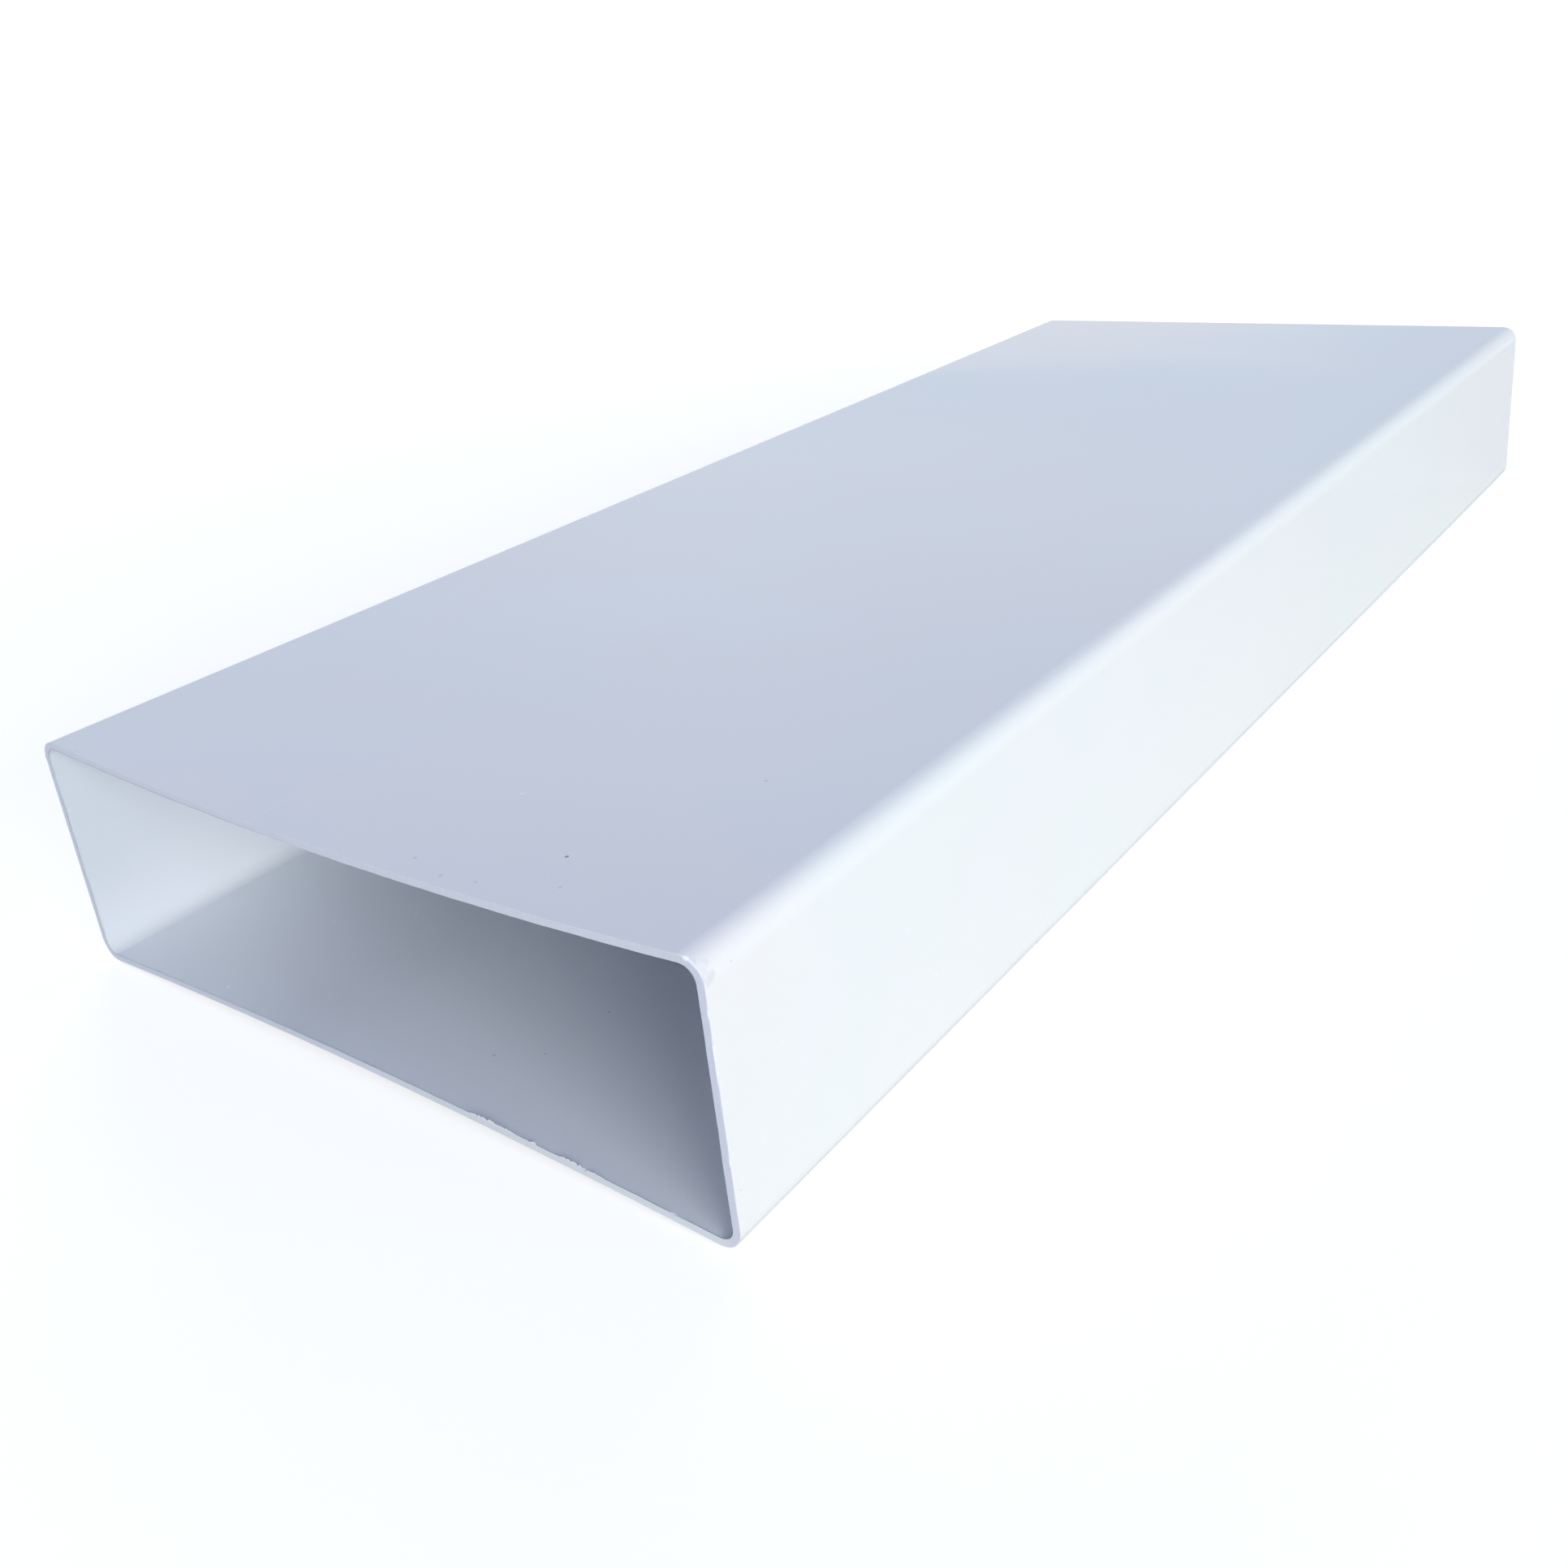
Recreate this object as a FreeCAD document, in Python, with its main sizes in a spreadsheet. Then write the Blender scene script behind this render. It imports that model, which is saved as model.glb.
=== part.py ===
import FreeCAD, Part
import math
import os

import Sketcher

# A length of white flat channel duct: one thin-walled extrusion with rounded corners, sawn to length.
# The two wide walls are drawn in at the sawn end, the top one more than the bottom one, and run out
# flat to the far end, so the section changes along the length while the wall stays even.
# X is across the width, Y along the length with the sawn end at -Y, and Z up from the floor.

doc = FreeCAD.newDocument("flat_channel_duct")

# Driving dimensions in millimetres: a bow is how far a wide wall's middle is drawn in at the sawn end
DIMENSIONS = (
    ("duct_width", 204.0),
    ("duct_height", 60.0),
    ("duct_length", 500.0),
    ("wall_thickness", 1.6),
    ("corner_radius", 5.0),
    ("top_bow", 3.6),
    ("bottom_bow", 2.3),
)
sheet = doc.addObject("Spreadsheet::Sheet", "dimensions")
for row, (alias, value) in enumerate(DIMENSIONS, start=1):
    sheet.set(f"A{row}", alias)
    sheet.set(f"B{row}", str(value))
    sheet.setAlias(f"B{row}", alias)
doc.recompute()

# The ends of the duct, as the side of the middle that they lie on along Y
SAWN_END, FAR_END = -1, 1

# The edges of a section and the points of an edge, each numbered by its place here
EDGES = ("right", "top_right", "top", "top_left", "left", "bottom_left", "bottom", "bottom_right")
POINTS = ("edge", "start", "end", "centre")

# The numbers by which a constraint names the origin of a sketch
ORIGIN = (-1, POINTS.index("start"))

# Which ends meet, going round from the right wall: the wide walls run against the others
JOINTS = (
    ("right", "end", "top_right", "start"),
    ("top_right", "end", "top", "end"),
    ("top", "start", "top_left", "start"),
    ("top_left", "end", "left", "start"),
    ("left", "end", "bottom_left", "start"),
    ("bottom_left", "end", "bottom", "end"),
    ("bottom", "start", "bottom_right", "start"),
    ("bottom_right", "end", "right", "start"),
)


def point(edge, place):
    """The numbers by which a constraint names a point of an edge."""
    return EDGES.index(edge), POINTS.index(place)


def constrain(sketch, kind, *targets):
    """Add a constraint between edges or points of a sketch."""
    sketch.addConstraint(Sketcher.Constraint(kind, *targets))


def dimension(sketch, name, kind, targets, expression):
    """Add a size to a sketch and tie it to the sheet."""
    size = Sketcher.Constraint(kind, *targets, sheet.evalExpression(expression))
    sketch.renameConstraint(sketch.addConstraint(size), name)
    sketch.setExpression(f"Constraints.{name}", expression)


def section_edges(inset, top_bow, bottom_bow):
    """The edges of a section, set in from the duct's outside; a wall with a bow of 0 is flat."""
    radius = sheet.corner_radius - inset
    wall_x = sheet.duct_width / 2 - inset
    centre_x = sheet.duct_width / 2 - sheet.corner_radius
    top_z = sheet.duct_height - sheet.corner_radius
    bottom_z = sheet.corner_radius

    def corner(x, z, first, last):
        circle = Part.Circle(FreeCAD.Vector(x, z, 0), FreeCAD.Vector(0, 0, 1), radius)
        return Part.ArcOfCircle(circle, first, last)

    def narrow_wall(x, first_z, last_z):
        return Part.LineSegment(FreeCAD.Vector(x, first_z, 0), FreeCAD.Vector(x, last_z, 0))

    def wide_wall(first, last, bow, middle_z):
        if bow:
            return Part.Arc(first, FreeCAD.Vector(0, middle_z, 0), last)
        return Part.LineSegment(first, last)

    def slant(bow):
        return math.asin(2 * bow * centre_x / (centre_x**2 + bow**2))

    # A bowed wall leaves its corners at a slant, so they turn by more than a quarter there
    quarter = math.pi / 2
    top_right = corner(centre_x, top_z, 0, quarter + slant(top_bow))
    top_left = corner(-centre_x, top_z, quarter - slant(top_bow), 2 * quarter)
    bottom_left = corner(-centre_x, bottom_z, 2 * quarter, 3 * quarter + slant(bottom_bow))
    bottom_right = corner(centre_x, bottom_z, 3 * quarter - slant(bottom_bow), 4 * quarter)
    top_middle = sheet.duct_height - inset - top_bow
    bottom_middle = inset + bottom_bow
    return [
        narrow_wall(wall_x, bottom_z, top_z),
        top_right,
        wide_wall(top_left.StartPoint, top_right.EndPoint, top_bow, top_middle),
        top_left,
        narrow_wall(-wall_x, top_z, bottom_z),
        bottom_left,
        wide_wall(bottom_right.StartPoint, bottom_left.EndPoint, bottom_bow, bottom_middle),
        bottom_right,
    ]


def section(body, name, end, inset):
    """Sketch the section at one end of the duct, set in from its outside by the expression inset."""
    sketch = body.newObject("Sketcher::SketchObject", name)
    plane = next(item for item in body.Origin.OriginFeatures if item.Role == "XZ_Plane")
    sketch.AttachmentSupport = [(plane, "")]
    sketch.MapMode = "FlatFace"
    sketch.setExpression("AttachmentOffset.Base.z", f"{-end} * dimensions.duct_length / 2")
    bowed = end == SAWN_END
    bows = (sheet.top_bow, sheet.bottom_bow) if bowed else (0, 0)
    sketch.addGeometry(section_edges(sheet.evalExpression(inset), *bows), False)

    # The edges run on smoothly, the narrow walls are upright, and the corners are alike and level
    for edge, place, next_edge, next_place in JOINTS:
        constrain(sketch, "Tangent", *point(edge, place), *point(next_edge, next_place))
    for wall in ("right", "left"):
        constrain(sketch, "Vertical", EDGES.index(wall))
    for corner in ("top_left", "bottom_left", "bottom_right"):
        constrain(sketch, "Equal", EDGES.index("top_right"), EDGES.index(corner))
    for wall in ("top", "bottom"):
        centres = point(f"{wall}_left", "centre") + point(f"{wall}_right", "centre")
        constrain(sketch, "Horizontal", *centres)

    corner_size = f"dimensions.corner_radius - {inset}"
    dimension(sketch, "radius", "Radius", (EDGES.index("top_right"),), corner_size)
    half_width = f"dimensions.duct_width / 2 - {inset}"
    dimension(sketch, "right_wall", "DistanceX", ORIGIN + point("right", "end"), half_width)
    dimension(sketch, "left_wall", "DistanceX", point("left", "start") + ORIGIN, half_width)
    corner_heights = {
        "top": "dimensions.duct_height - dimensions.corner_radius",
        "bottom": "dimensions.corner_radius",
    }
    for wall, height in corner_heights.items():
        span = ORIGIN + point(f"{wall}_right", "centre")
        dimension(sketch, f"{wall}_corners", "DistanceY", span, height)

    # A bowed wall passes through a point on the middle line, drawn in by its bow
    middle_heights = {
        "top": f"dimensions.duct_height - {inset} - dimensions.top_bow",
        "bottom": f"{inset} + dimensions.bottom_bow",
    }
    for wall, height in middle_heights.items() if bowed else ():
        spot = Part.Point(FreeCAD.Vector(0, sheet.evalExpression(height), 0))
        middle = (sketch.addGeometry(spot, True), POINTS.index("start"))
        constrain(sketch, "PointOnObject", *middle, EDGES.index(wall))
        constrain(sketch, "Vertical", *ORIGIN, *middle)
        dimension(sketch, f"{wall}_middle", "DistanceY", ORIGIN + middle, height)
    return sketch


def loft(body, kind, name, inset):
    """Run a section from the sawn end to the far end, as a solid or as a cut."""
    feature = body.newObject(kind, name)
    feature.Profile = section(body, f"{name}_at_sawn_end", SAWN_END, inset)
    feature.Sections = [section(body, f"{name}_at_far_end", FAR_END, inset)]
    feature.Ruled = True
    return feature


# The duct: its outside as a solid run from end to end, and its bore cut out of it
duct = doc.addObject("PartDesign::Body", "channel_duct")
duct.Label = "channel_duct"
outside = loft(duct, "PartDesign::AdditiveLoft", "outside", "0")
bore = loft(duct, "PartDesign::SubtractiveLoft", "bore", "dimensions.wall_thickness")
duct.Tip = bore
doc.recompute()

# Nothing is written unless every feature came out sound and the bore went right through
for item in doc.Objects:
    if "Invalid" in item.State or "Error" in item.State:
        raise RuntimeError(f"{item.Name} failed: {item.State}")
    if item.isDerivedFrom("Sketcher::SketchObject") and not item.FullyConstrained:
        raise RuntimeError(f"{item.Name} isn't fully constrained")
if duct.Shape.isNull() or not duct.Shape.isValid() or len(duct.Shape.Solids) != 1:
    raise RuntimeError("the duct isn't one sound solid")
girth = duct.Shape.Volume / (sheet.wall_thickness * sheet.duct_length)
if duct.Shape.Volume >= outside.Shape.Volume or girth >= 2 * (sheet.duct_width + sheet.duct_height):
    raise RuntimeError("the bore doesn't run through the duct")

os.makedirs("parts", exist_ok=True)
duct.Shape.exportStep(f"parts/{duct.Label}.step")
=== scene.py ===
import math

import bmesh
import bpy
from mathutils import Matrix, Vector, noise


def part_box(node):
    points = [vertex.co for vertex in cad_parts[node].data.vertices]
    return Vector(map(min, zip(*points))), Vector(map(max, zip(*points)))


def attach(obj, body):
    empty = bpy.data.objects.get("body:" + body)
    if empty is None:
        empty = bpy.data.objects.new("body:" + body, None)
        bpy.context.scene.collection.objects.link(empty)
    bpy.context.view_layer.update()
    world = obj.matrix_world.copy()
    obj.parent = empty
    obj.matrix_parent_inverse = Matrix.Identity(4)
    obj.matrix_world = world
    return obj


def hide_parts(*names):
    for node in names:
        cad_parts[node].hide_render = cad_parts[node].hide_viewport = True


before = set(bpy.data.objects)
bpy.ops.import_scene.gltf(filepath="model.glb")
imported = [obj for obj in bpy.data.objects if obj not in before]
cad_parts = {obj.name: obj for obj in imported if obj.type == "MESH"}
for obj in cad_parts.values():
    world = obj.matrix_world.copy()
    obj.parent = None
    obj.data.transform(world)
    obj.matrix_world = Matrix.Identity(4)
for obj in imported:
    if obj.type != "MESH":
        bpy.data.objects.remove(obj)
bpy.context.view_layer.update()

# The duct is one thin-walled extrusion in white uPVC, with rounded corners, sawn square at both ends.
# Its two wide walls are drawn in at the sawn end nearest the camera, the top one more than the bottom
# one, and run out flat to the far end. Lengths are in metres, and the overall size is the frame's.
duct_low, duct_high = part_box("channel_duct")
duct_width, duct_length, duct_height = duct_high - duct_low
near_end, far_end = duct_low.y, duct_high.y
wall_thickness = 0.0016
corner_radius = 0.005
top_bow = 0.0036
bottom_bow = 0.0023
corner_x = duct_width / 2 - corner_radius

# The walls are divided finely round the section, for the saw's raggedness, and coarsely along the length
corner_strips = 14
wide_wall_strips = 640
narrow_wall_strips = 150
rows_each_half = 12
row_growth = 2.0

across, lengthwise, upright = Vector((1, 0, 0)), Vector((0, 1, 0)), Vector((0, 0, 1))
aligned = 0.999


def edges_along(mesh, direction):
    """The edges of a mesh that run along a direction."""
    found = []
    for edge in mesh.edges:
        span = edge.verts[1].co - edge.verts[0].co
        if abs(span.normalized().dot(direction)) > aligned:
            found.append(edge)
    return found


def faces_across(mesh, direction):
    """The faces of a mesh that lie square across a direction."""
    return [face for face in mesh.faces if abs(face.normal.dot(direction)) > aligned]


duct = bmesh.new()
bmesh.ops.create_cube(duct, size=1.0)
bmesh.ops.scale(duct, vec=(duct_width, duct_length, duct_height), verts=duct.verts)
bmesh.ops.translate(duct, vec=(duct_low + duct_high) / 2, verts=duct.verts)
bmesh.ops.delete(duct, geom=faces_across(duct, lengthwise), context="FACES_ONLY")
bmesh.ops.bevel(
    duct, geom=edges_along(duct, lengthwise), offset=corner_radius, offset_type="OFFSET",
    affect="EDGES", segments=corner_strips, profile=0.5, material=-1,
)
bmesh.ops.subdivide_edges(duct, edges=edges_along(duct, across), cuts=wide_wall_strips - 1)
bmesh.ops.subdivide_edges(duct, edges=edges_along(duct, upright), cuts=narrow_wall_strips - 1)
bmesh.ops.subdivide_edges(duct, edges=edges_along(duct, lengthwise), cuts=2 * rows_each_half - 1)

# The rows crowd towards both ends, where the saw left its marks: each is wider than the one before it
for vert in duct.verts:
    from_middle = vert.co.y / (duct_length / 2)
    row = rows_each_half * (1 - abs(from_middle))
    from_end = (row_growth**row - 1) / (row_growth**rows_each_half - 1)
    vert.co.y = math.copysign(1 - from_end, from_middle) * duct_length / 2


def drawn_in(point, bow):
    """Where a point of a flat wall or its corner goes when the wall is drawn in; up is out of the duct."""
    slant = math.asin(2 * bow * corner_x / (corner_x**2 + bow**2))
    if abs(point.x) > corner_x:
        turn = math.atan2(point.y + corner_radius, abs(point.x) - corner_x)
        turn *= 1 + slant / (math.pi / 2)
        x = math.copysign(corner_x + corner_radius * math.cos(turn), point.x)
        return Vector((x, corner_radius * math.sin(turn) - corner_radius))
    x = point.x * (1 - corner_radius * math.sin(slant) / corner_x)
    bow_radius = (corner_x**2 + bow**2) / (2 * bow) - corner_radius
    return Vector((x, bow_radius - math.sqrt(bow_radius**2 - x**2) - bow))


for vert in duct.verts:
    run_out = (vert.co.y - near_end) / duct_length
    for outward, wall_z, bow in ((1, duct_high.z, top_bow), (-1, duct_low.z, bottom_bow)):
        depth = outward * (wall_z - vert.co.z)
        if depth < corner_radius:
            flat = Vector((vert.co.x, -depth))
            drawn = drawn_in(flat, bow).lerp(flat, run_out)
            vert.co.x = drawn.x
            vert.co.z = wall_z + outward * drawn.y
            break

# The sheet gets its wall on the inside, and the sawn rims are brought back square. Every point notes how
# far across the wall it lies: 0 on the outside and 1 in the bore. Each rim has three strips across the
# wall, of which the two along its edges are narrow: their width is a share of the wall.
rim_strips = 3
edge_strip = 0.12
rim_reach = 0.00003
across_wall = duct.verts.layers.float.new("across_wall")
bmesh.ops.recalc_face_normals(duct, faces=duct.faces)
outer_skin = set(duct.verts)
bmesh.ops.solidify(duct, geom=list(duct.faces), thickness=wall_thickness)
for vert in duct.verts:
    vert[across_wall] = 0.0 if vert in outer_skin else 1.0
    for end in (near_end, far_end):
        if abs(vert.co.y - end) < rim_reach:
            vert.co.y = end
rim_edges = [edge for edge in duct.edges if edge.verts[0][across_wall] != edge.verts[1][across_wall]]
bmesh.ops.subdivide_edges(duct, edges=rim_edges, cuts=rim_strips - 1)
for vert in duct.verts:
    if 0 < vert[across_wall] < 1:
        for skin in (edge.other_vert(vert) for edge in vert.link_edges):
            if skin[across_wall] in (0, 1):
                vert.co = skin.co.lerp(vert.co, rim_strips * edge_strip)
                vert[across_wall] = abs(skin[across_wall] - edge_strip)
                break

# Every edge that the saw left is uneven. The near end has chips along its outer edge on the right, and a
# thin burr pushed up into the bore along the inner edge of its bottom wall.
saw_grain = 0.0024
tooth_grain = 0.0006
chip_grain = 0.0008
chip_depth = 0.00012
chip_reach = 0.0010
burr_height = 0.00009
burr_reach = 0.00015
burr_least, burr_spread = 0.1, 3.6

# A stretch of edge: how deep or high it is, where its middle lies, and half its length. Chips are placed by
# their height, and burrs by how far right they are. A burr below 0 is a nick.
crumbled_edge = (0.00110, 0.0412, 0.0050)
clean_chips = (
    (0.00034, 0.0500, 0.0010),
    (0.00034, 0.0200, 0.0009),
    (0.00050, 0.0592, 0.0009),
)
ragged_burrs = (
    (0.00050, 0.0385, 0.0060),
    (0.00022, 0.0460, 0.0050),
    (0.00036, 0.0510, 0.0008),
    (0.00044, 0.0612, 0.0040),
    (0.00034, 0.0672, 0.0026),
    (-0.00060, 0.0643, 0.0007),
)
clean_nick = (-0.00035, 0.0864, 0.0008)


def unevenness(point, grain, layer):
    """How uneven a sawn edge is at a point, from 0 to 1; the steps are a grain long, and layers differ."""
    return 0.5 + 0.5 * noise.noise(Vector((point.x / grain, layer, point.z / grain)))


def swell(place, stretch):
    """A stretch's full depth or height in its middle, falling to 0 at its ends."""
    full, middle, half_length = stretch
    return full * max(0.0, 1 - ((place - middle) / half_length) ** 2)


def outer_chips(point):
    """How far the saw broke back the outer edge of the near end, on its right side."""
    if point.x < corner_x:
        return 0.0
    depth = swell(point.z, crumbled_edge) * unevenness(point, chip_grain, 5) ** 2
    return depth + sum(swell(point.z, chip) for chip in clean_chips)


def inner_burr(point):
    """How far the saw pushed a burr up into the bore at the near end; a nick in the wall is less than 0."""
    if point.z > 2 * corner_radius:
        return 0.0
    height = sum(swell(point.x, burr) for burr in ragged_burrs)
    height *= burr_least + burr_spread * unevenness(point, tooth_grain, 9) ** 2
    return height + swell(point.x, clean_nick)


duct.normal_update()
sawn_faces = faces_across(duct, lengthwise)
skin_normals = {vert: Vector((vert.normal.x, 0, vert.normal.z)).normalized() for vert in duct.verts}
for vert in duct.verts:
    place = vert.co.copy()
    for end, inward in ((near_end, 1), (far_end, -1)):
        travel = inward * (place.y - end)
        if vert[across_wall] == 0 and travel < chip_reach:
            depth = chip_depth * unevenness(place, saw_grain, end) ** 3
            depth += chip_depth * unevenness(place, tooth_grain, 2 + end) ** 4
            if end == near_end:
                depth += outer_chips(place)
            vert.co.y += inward * depth * (1 - travel / chip_reach)
        if vert[across_wall] == 1 and travel < burr_reach:
            height = 2 * burr_height * unevenness(place, 3 * saw_grain, 3 + end) ** 2
            height += burr_height * unevenness(place, saw_grain, 4 + end) ** 2
            height += burr_height * unevenness(place, tooth_grain, 6 + end) ** 4
            if end == near_end:
                burr = inner_burr(place)
                height += burr
                vert[across_wall] += max(0.0, burr) / wall_thickness
            vert.co += skin_normals[vert] * height * (1 - travel / burr_reach)

# The walls are smooth and the sawn faces flat, with a sharp edge between them
wall_slot, sawn_slot = 0, 1
for face in duct.faces:
    face.smooth = True
    face.material_index = wall_slot
for face in sawn_faces:
    face.smooth = False
    face.material_index = sawn_slot
for edge in duct.edges:
    edge.smooth = len({face.material_index for face in edge.link_faces}) == 1
duct_mesh = bpy.data.meshes.new("channel_duct_wall")
duct.to_mesh(duct_mesh)
duct.free()
channel = bpy.data.objects.new("channel_duct_wall", duct_mesh)
bpy.context.scene.collection.objects.link(channel)
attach(channel, "root")
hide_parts("channel_duct")


class Signal:
    """An output of a shader's nodes: arithmetic on it adds Math nodes, and node adds any other kind."""

    def __init__(self, tree, socket=None):
        self.tree = tree
        self.socket = socket

    def node(self, kind, settings=None, inputs=None, output=0):
        """Add a node, set it, then give its sockets their values or links, and return one of its outputs."""
        added = self.tree.nodes.new("ShaderNode" + kind)
        for name, value in (settings or {}).items():
            setattr(added, name, value)
        for name, value in (inputs or {}).items():
            if isinstance(value, Signal):
                self.tree.links.new(value.socket, added.inputs[name])
            else:
                added.inputs[name].default_value = value
        return Signal(self.tree, added.outputs[output] if added.outputs else None)

    def maths(self, operation, *values):
        """Add a Math node."""
        return self.node("Math", {"operation": operation}, dict(enumerate(values)))

    def __add__(self, other):
        return self.maths("ADD", self, other)

    def __sub__(self, other):
        return self.maths("SUBTRACT", self, other)

    def __rsub__(self, other):
        return self.maths("SUBTRACT", other, self)

    def __mul__(self, other):
        return self.maths("MULTIPLY", self, other)

    def __abs__(self):
        return self.maths("ABSOLUTE", self)

    __radd__ = __add__
    __rmul__ = __mul__

    def axes(self):
        """For a position or a direction: its parts along X, Y and Z."""
        return [self.node("SeparateXYZ", inputs={0: self}, output=axis) for axis in "XYZ"]

    def fade(self, start, end):
        """0 up to start and 1 from end, eased between them."""
        limits = {"Value": self, "From Min": start, "From Max": end}
        return self.node("MapRange", {"interpolation_type": "SMOOTHSTEP"}, limits)

    def spot(self, middle, radius, core=0.6):
        """For a position: 1 in the core of a round spot, a share of its radius, and 0 outside the spot."""
        apart = self.node("VectorMath", {"operation": "DISTANCE"}, {0: self, 1: middle}, output="Value")
        return apart.fade(radius, core * radius)

    def tint(self, none, full):
        """A colour between two, by this share of the second."""
        return self.node("Mix", {"data_type": "RGBA"}, {0: self, 6: none, 7: full}, output=2)


def start_material(name):
    """A new material with no nodes, and the signal that its nodes are added through."""
    material = bpy.data.materials.new(name)
    material.use_nodes = True
    material.node_tree.nodes.clear()
    return material, Signal(material.node_tree)


# The walls' finish is satin white, as the uPVC came from the die, with faint lines along the length. The
# bore is painted a cooler white, and its walls darker near the mouth, as painted shade. Handling has left
# grit and dust, a grey rub at two corners and a scuff on the top.
white_upvc, shade = start_material("white_upvc")
cool_white = (0.790, 0.845, 0.885, 1)
grey_white = (0.818, 0.826, 0.875, 1)
# Painted shade: the bore's cooler white, and a darker one for its walls near the mouth
shaded_bore_white = (0.824, 0.862, 0.926, 1)
shaded_mouth_white = (0.748, 0.795, 0.858, 1)
pale_dust = (0.95, 0.96, 0.97, 1)
dark_grit = (0.10, 0.11, 0.14, 1)
grime = (0.46, 0.48, 0.54, 1)
flush_pink = (0.80, 0.68, 0.76, 1)
upvc_ior = 1.53
die_polish = 0.035
line_stretch = (1, 0.004, 1)
grey_reach = 0.15
# How far the painted shade reaches in from the mouth, and the heights it fades in over
mouth_shade_reach = 0.045
mouth_shade_from, mouth_shade_to = 0.006, 0.028

position = shade.node("TexCoord", output="Object")
x, y, z = position.axes()
drawn_out = shade.node("VectorMath", {"operation": "MULTIPLY"}, {0: position, 1: line_stretch})
fine_lines = shade.node("TexNoise", inputs={"Vector": drawn_out, "Scale": 900.0, "Detail": 3.0})
broad_lines = shade.node("TexNoise", inputs={"Vector": drawn_out, "Scale": 110.0, "Detail": 2.0})
peel = shade.node("TexNoise", inputs={"Vector": position, "Scale": 330.0, "Detail": 2.0})
clouds = shade.node("TexNoise", inputs={"Vector": position, "Scale": 16.0, "Detail": 2.0})
dust = shade.node("TexNoise", inputs={"Vector": position, "Scale": 720.0, "Detail": 0.0}).fade(0.82, 0.86)


def sum_of(signals):
    """Signals added together."""
    total, *others = signals
    for other in others:
        total = total + other
    return total


# A dark grain of grit lies on the top. Fainter grains and lint lie round it, just inside the mouth and on
# the right side. The cut's top right corner has a pink flush, and both its top corners have a grey rub.
grit = position.spot((0.0536, -0.2313, 0.0575), 0.00052)
faint_grit = sum_of([
    position.spot((0.0250, -0.2440, 0.0567), 0.00050),
    position.spot((0.0355, -0.2467, 0.0569), 0.00055),
    position.spot((0.0440, -0.2457, 0.0571), 0.00045),
    position.spot((0.0610, -0.2406, 0.0578), 0.00045),
    position.spot((0.0700, -0.1910, 0.0583), 0.00055),
    position.spot((0.0340, -0.2100, 0.0037), 0.00058),
    position.spot((0.0230, -0.2340, 0.0038), 0.00050),
    position.spot((0.0325, -0.2280, 0.0037), 0.00044),
    position.spot((0.1020, -0.2483, 0.0132), 0.00024),
    position.spot((0.1020, -0.2428, 0.0560), 0.00026),
])
lint = sum_of([
    position.spot((0.0247, -0.2149, 0.0569), 0.00050),
    position.spot((-0.0560, -0.2140, 0.0032), 0.00060),
    position.spot((-0.0390, -0.2020, 0.0035), 0.00060),
    position.spot((-0.0550, -0.2460, 0.0032), 0.00055),
    position.spot((0.0986, -0.2498, 0.0597), 0.00070),
])
flush = position.spot((0.0997, -0.2496, 0.0590), 0.00080)
rub = sum_of([
    position.spot((-0.0880, -0.2490, 0.0594), 0.0035),
    position.spot((0.1020, -0.2490, 0.0574), 0.0030),
]) * peel.fade(0.45, 0.62)

# A scuff runs along the top from the cut, a little aslant, and dies away
scuff_start, scuff_end = Vector((-0.0210, -0.2485)), Vector((-0.0300, -0.1620))
scuff_width, scuff_core = 0.0009, 0.0001
scuff_floor, scuff_top = 0.050, 0.054
scuff_slope = (scuff_end.x - scuff_start.x) / (scuff_end.y - scuff_start.y)
scuff_offset = x - (scuff_start.x + (y - scuff_start.y) * scuff_slope)
scuff = abs(scuff_offset).fade(scuff_width, scuff_core)
scuff = scuff * y.fade(scuff_end.y, scuff_start.y) * z.fade(scuff_floor, scuff_top)

# The bore takes its cooler white as painted shade
inside = shade.node("Attribute", {"attribute_name": "across_wall"}, output="Fac").fade(0.4, 0.6)
greyness = 0.6 * clouds.fade(0.35, 0.65) + 0.4 * y.fade(near_end + grey_reach, near_end)
colour = greyness.tint(cool_white, grey_white)
# Painted shade darkens the bore's walls near the mouth, above its floor
mouth_shade = y.fade(near_end + mouth_shade_reach, near_end) * z.fade(mouth_shade_from, mouth_shade_to)
bore_colour = mouth_shade.tint(shaded_bore_white, shaded_mouth_white)
colour = inside.tint(colour, bore_colour)
colour = (0.09 * scuff + lint + 0.12 * dust).tint(colour, pale_dust)
colour = (0.6 * flush).tint(colour, flush_pink)
colour = (0.30 * rub + 0.45 * faint_grit).tint(colour, grime)
colour = (0.85 * grit).tint(colour, dark_grit)
roughness = die_polish + 0.02 * fine_lines + 0.03 * clouds + 0.20 * rub + 0.06 * scuff
relief = 0.5 * fine_lines + 0.9 * broad_lines + 0.6 * peel
bump = shade.node("Bump", inputs={"Strength": 0.02, "Distance": 0.0002, "Height": relief})
wall_finish = shade.node("BsdfPrincipled", inputs={
    "Base Color": colour, "Roughness": roughness, "Normal": bump, "IOR": upvc_ior,
    "Coat Weight": 0.4, "Coat Roughness": die_polish,
})
shade.node("OutputMaterial", inputs={"Surface": wall_finish})
duct_mesh.materials.append(white_upvc)

# The sawn faces' finish is dull, with the teeth's marks across it. A painted sheen makes it paler to the
# right and lowest down. It is lavender on the right side, darker along the inner edge to the left as
# painted shade at the rolled edge, and almost white on the burr.
sawn_upvc, cut = start_material("sawn_upvc")
sawn_white = (0.70, 0.735, 0.815, 1)
# The paler white of the painted sheen
sheen_white = (0.84, 0.885, 0.93, 1)
burr_white = (0.95, 0.965, 1.0, 1)
lavender_white = (0.765, 0.788, 0.905, 1)
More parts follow.
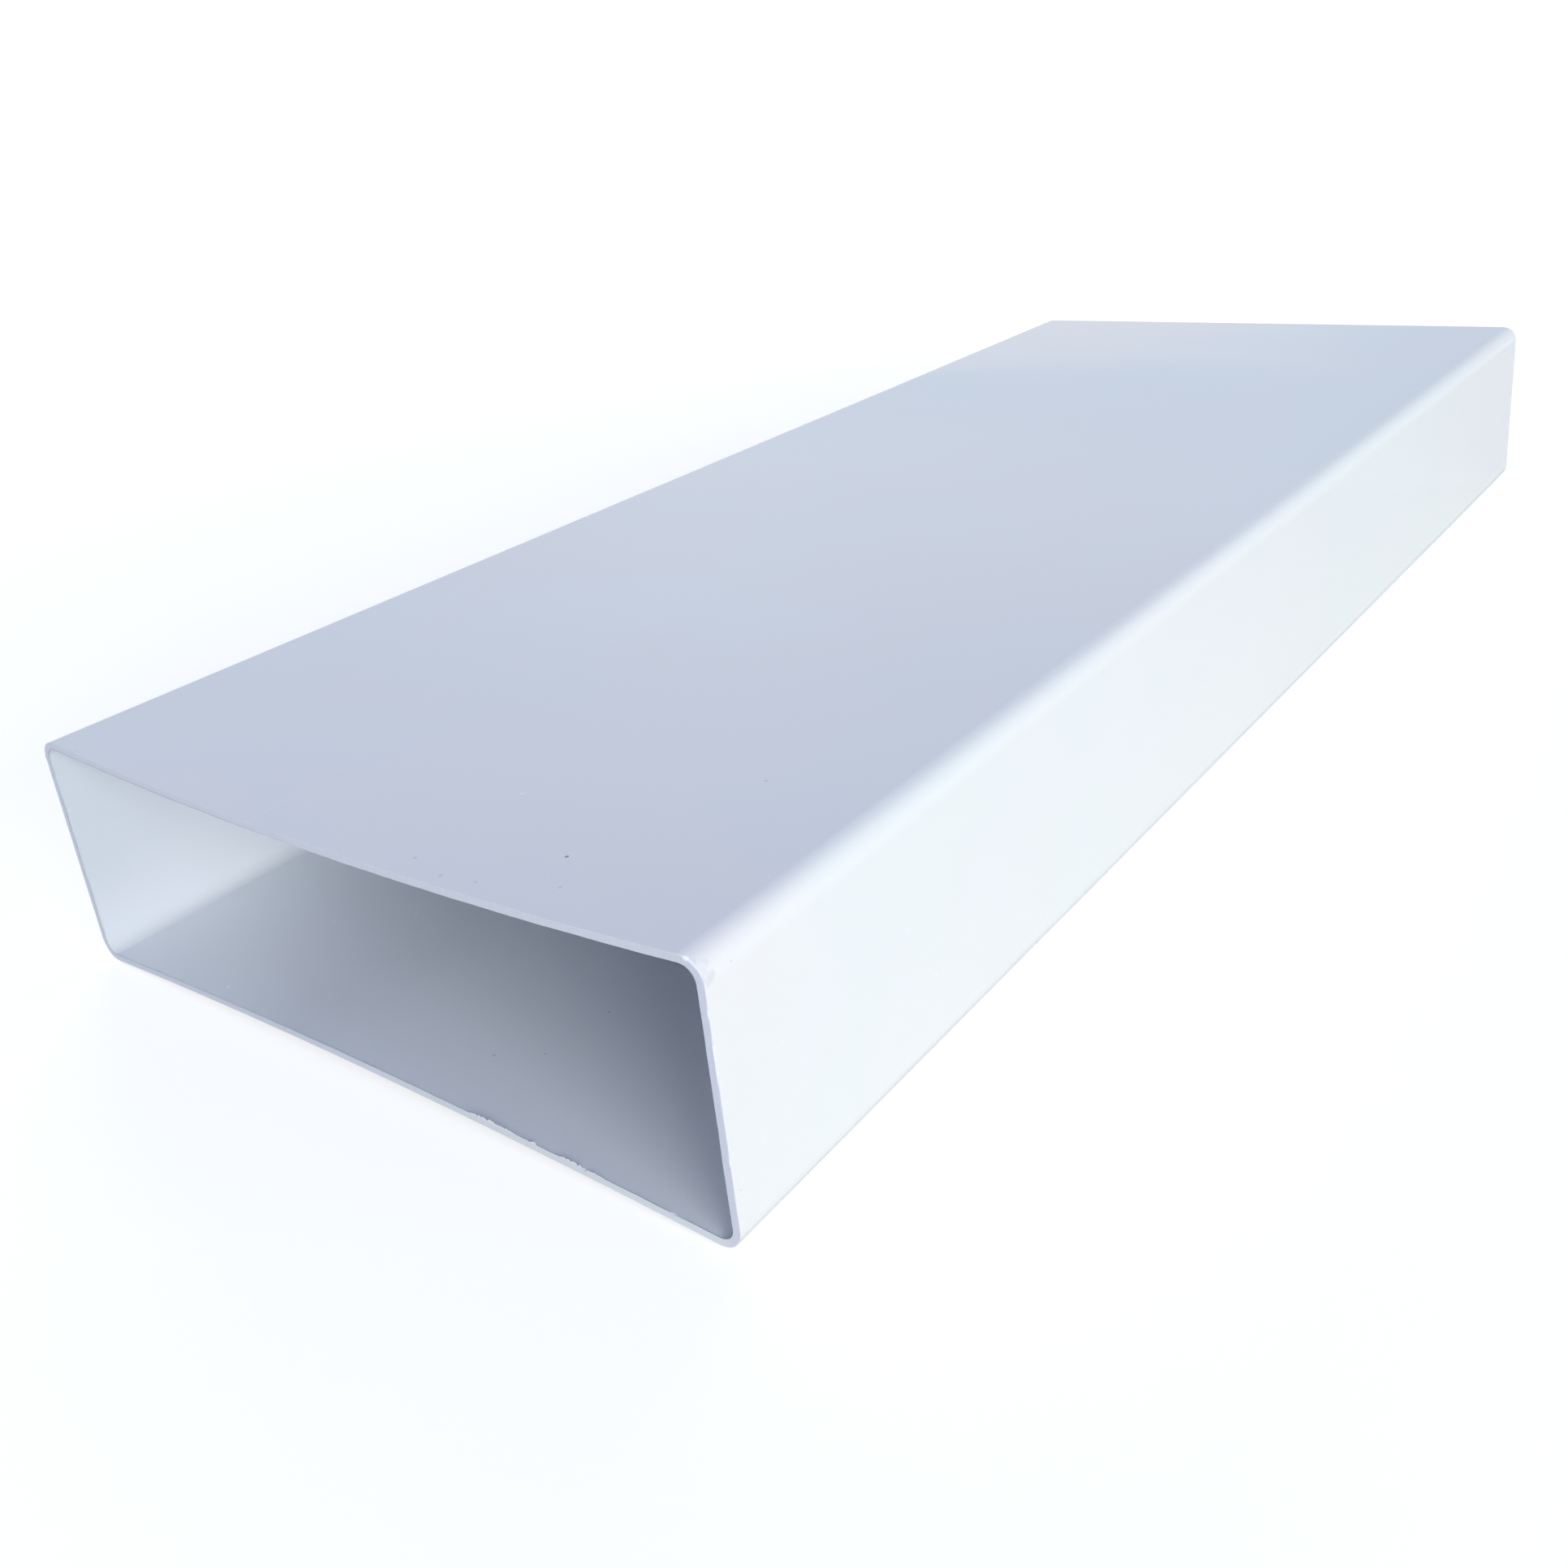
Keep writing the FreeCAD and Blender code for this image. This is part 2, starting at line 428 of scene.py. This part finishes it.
# The grey of the painted shade along the inner edge
edge_shade_grey = (0.38, 0.42, 0.48, 1)
tooth_slant = (0, 0.6, 0)
tooth_stretch = (1, 1, 0.08)
# Where the painted sheen fades in, across and down
sheen_left, sheen_right = -0.06, 0.095
sheen_top, sheen_bottom = 0.045, 0.0
# Where the painted shade along the inner edge fades out to the right
edge_shade_right, edge_shade_left = 0.02, -0.06
lavender_reach = 0.004

cut_position = cut.node("TexCoord", output="Object")
cut_x, _, cut_z = cut_position.axes()
wall_share = cut.node("Attribute", {"attribute_name": "across_wall"}, output="Fac")
along_teeth = cut.node("Mapping", inputs={
    "Vector": cut_position, "Rotation": tooth_slant, "Scale": tooth_stretch,
})
teeth = cut.node("TexNoise", inputs={"Vector": along_teeth, "Scale": 1900.0, "Detail": 3.0})
swarf = cut.node("TexNoise", inputs={"Vector": cut_position, "Scale": 800.0, "Detail": 2.0})
# Painted sheen, paler to the right and lowest down, with the teeth's marks over it
sheen_and_teeth = cut_x.fade(sheen_left, sheen_right) * (0.3 + 0.7 * cut_z.fade(sheen_top, sheen_bottom))
sheen_and_teeth = sheen_and_teeth + 0.2 * teeth.fade(0.30, 0.70)
# Painted shade along the inner edge, on the left
inner_edge_shade = wall_share.fade(0.84, 1.0) * cut_x.fade(edge_shade_right, edge_shade_left)
right_side = cut_x.fade(corner_x, corner_x + lavender_reach)
burr_share = wall_share.fade(0.98, 1.06)
fleck = cut_position.spot((0.0986, near_end, 0.0596), 0.0007)
cut_colour = sheen_and_teeth.tint(sawn_white, sheen_white)
cut_colour = (0.7 * inner_edge_shade).tint(cut_colour, edge_shade_grey)
cut_colour = (0.8 * right_side).tint(cut_colour, lavender_white)
cut_colour = (burr_share + fleck).tint(cut_colour, burr_white)
cut_roughness = 0.55 + 0.15 * swarf
cut_relief = teeth + 0.6 * swarf
cut_bump = cut.node("Bump", inputs={"Strength": 0.12, "Distance": 0.0002, "Height": cut_relief})
cut_finish = cut.node("BsdfPrincipled", inputs={
    "Base Color": cut_colour, "Roughness": cut_roughness, "Normal": cut_bump, "IOR": upvc_ior,
})
cut.node("OutputMaterial", inputs={"Surface": cut_finish})
duct_mesh.materials.append(sawn_upvc)

# The floor is a plain pale sheet that the duct lies on. It looks white to the camera, apart from the
# duct's shadow, and reflections show half of that white.
floor_half_size = 6.0
floor_gap = 0.0003
floor_pale = (0.62, 0.62, 0.63, 1)
white = (1, 1, 1, 1)
near_white = (0.63, 0.63, 0.63, 1)
shadow_reach, white_reach = 0.45, 1.1
sheet = bmesh.new()
bmesh.ops.create_grid(sheet, x_segments=1, y_segments=1, size=floor_half_size)
bmesh.ops.translate(sheet, vec=(0, 0, duct_low.z - floor_gap), verts=sheet.verts)
floor_mesh = bpy.data.meshes.new("floor")
sheet.to_mesh(floor_mesh)
sheet.free()
floor = bpy.data.objects.new("floor", floor_mesh)
bpy.context.scene.collection.objects.link(floor)

floor_paper, paper = start_material("floor_paper")
lit_paper = paper.node("BsdfDiffuse", inputs={"Color": floor_pale})
floor_place = paper.node("TexCoord", output="Object")
from_duct = paper.node("VectorMath", {"operation": "LENGTH"}, {0: floor_place}, output="Value")
whiteness = from_duct.fade(shadow_reach, white_reach).tint(near_white, white)
white_paper = paper.node("Emission", inputs={"Color": whiteness, "Strength": 1.0})
seen_paper = paper.node("AddShader", inputs={0: lit_paper, 1: white_paper})
to_camera = paper.node("LightPath", output="Is Camera Ray")
to_gloss = paper.node("LightPath", output="Is Glossy Ray")
paper_finish = paper.node("MixShader", inputs={
    0: to_camera + 0.5 * to_gloss, 1: lit_paper, 2: seen_paper,
})
paper.node("OutputMaterial", inputs={"Surface": paper_finish})
floor_mesh.materials.append(floor_paper)

# The light is a cool skylight over four soft lamps: a broad window low on the right and to the front, a
# narrow one at the front, a warm wall beside the duct and a window behind it on the left. The room looks
# white to the camera.
room = bpy.data.worlds.new("room")
bpy.context.scene.world = room
room.use_nodes = True
room.node_tree.nodes.clear()
sky = Signal(room.node_tree)
direction = sky.node("TexCoord", output="Generated")
rightward, backward, upward = direction.axes()
walls_light = (0.002, 0.002, 0.002, 1)
front_sky = (0.606, 0.642, 0.755, 1)
back_sky = (0.215, 0.318, 0.598, 1)
sky_front, sky_back = -0.5, 0.3
sky_foot, sky_full = 0.45, 0.75
skylight = backward.fade(sky_front, sky_back).tint(front_sky, back_sky)
room_light = upward.fade(sky_foot, sky_full).tint(walls_light, skylight)
room_glow = sky.node("Background", inputs={"Color": room_light, "Strength": 1.0})

# In reflections the room is pale, with a lighter panel behind the duct on the left, which darkens down to a
# low backdrop. The backdrop fades out to the right, where it has a darker streak below its top.
pale_room = (0.68, 0.74, 0.83, 1)
pale_panel = (0.885, 0.92, 0.98, 1)
low_panel = (0.745, 0.838, 0.945, 1)
pale_backdrop = (0.905, 0.935, 0.985, 1)
panel_right, panel_left = (-0.12, -0.36), (-0.84, -0.60)
panel_foot, panel_full = 0.21, 0.30
backdrop_right, streak_left = (-0.26, -0.38), (-0.43, -0.36)
backdrop_blur, streak_blur = 0.0015, 0.001
elevations = (12.7, 12.3, 11.9)
backdrop_top, streak_top, streak_foot = (math.sin(math.radians(angle)) for angle in elevations)
panel_share = rightward.fade(*panel_right) * rightward.fade(*panel_left)
panel_colour = upward.fade(panel_foot, panel_full).tint(low_panel, pale_panel)
streak = upward.fade(streak_top + streak_blur, streak_top - streak_blur)
streak = streak * upward.fade(streak_foot - streak_blur, streak_foot + streak_blur)
streak = streak * rightward.fade(*streak_left)
backdrop_share = upward.fade(backdrop_top + backdrop_blur, backdrop_top - backdrop_blur)
backdrop_share = backdrop_share * rightward.fade(*backdrop_right) * (1 - 0.8 * streak)
shine_colour = panel_share.tint(pale_room, panel_colour)
shine_colour = backdrop_share.tint(shine_colour, pale_backdrop)
shine_glow = sky.node("Background", inputs={"Color": shine_colour, "Strength": 1.0})
white_glow = sky.node("Background", inputs={"Color": white, "Strength": 1.0})
glossy_ray = sky.node("LightPath", output="Is Glossy Ray")
clear_ray = sky.node("LightPath", output="Is Transmission Ray")
camera_ray = sky.node("LightPath", output="Is Camera Ray")
surroundings = sky.node("MixShader", inputs={0: glossy_ray + clear_ray, 1: room_glow, 2: shine_glow})
surroundings = sky.node("MixShader", inputs={0: camera_ray, 1: surroundings, 2: white_glow})
sky.node("OutputWorld", inputs={"Surface": surroundings})
lamp_distance = 4.0


def soft_lamp(name, size, energy, colour, azimuth, elevation):
    """A broad lamp that faces the duct; azimuth is in degrees from the near end towards the right."""
    lamp = bpy.data.lights.new(name, "AREA")
    lamp.shape = "RECTANGLE"
    lamp.size, lamp.size_y = size
    lamp.energy = energy
    lamp.color = colour
    turn = Matrix.Rotation(math.radians(azimuth), 3, "Z") @ Matrix.Rotation(math.radians(-elevation), 3, "X")
    toward_lamp = turn @ Vector((0, -1, 0))
    stand = bpy.data.objects.new(name, lamp)
    stand.location = lamp_distance * toward_lamp
    stand.rotation_euler = toward_lamp.to_track_quat("Z", "Y").to_euler()
    stand.visible_glossy = False
    bpy.context.scene.collection.objects.link(stand)


soft_lamp("window", size=(1.9, 1.4), energy=106, colour=(0.975, 1.0, 0.965), azimuth=61.5, elevation=13)
soft_lamp("front_window", size=(0.6, 1.4), energy=30, colour=(0.90, 0.91, 1.0), azimuth=15, elevation=13)
soft_lamp("warm_wall", size=(2.0, 1.4), energy=39, colour=(1.0, 0.93, 0.62), azimuth=100, elevation=15)
soft_lamp("back_window", size=(2.4, 1.4), energy=68, colour=(1.0, 1.0, 1.0), azimuth=-125, elevation=18)

# The camera stands close to the sawn end, on its right, and looks down along the duct. It is tilted a
# little, and a small shift sets the duct in the middle of the frame.
camera_data = bpy.data.cameras.new("camera")
camera_data.sensor_width = 36
camera_data.lens = 35.657
camera_data.shift_x, camera_data.shift_y = 0.0135, -0.0600
camera = bpy.data.objects.new("camera", camera_data)
camera_azimuth, camera_elevation, camera_roll = map(math.radians, (39.928, 22.537, -6.717))
camera.location = (0.24928, -0.40288, 0.19310)
turn = Matrix.Rotation(camera_azimuth, 4, "Z") @ Matrix.Rotation(math.pi / 2 - camera_elevation, 4, "X")
camera.rotation_euler = (turn @ Matrix.Rotation(camera_roll, 4, "Z")).to_euler()
bpy.context.scene.collection.objects.link(camera)
bpy.context.scene.camera = camera
bpy.context.scene.view_settings.view_transform = "Standard"
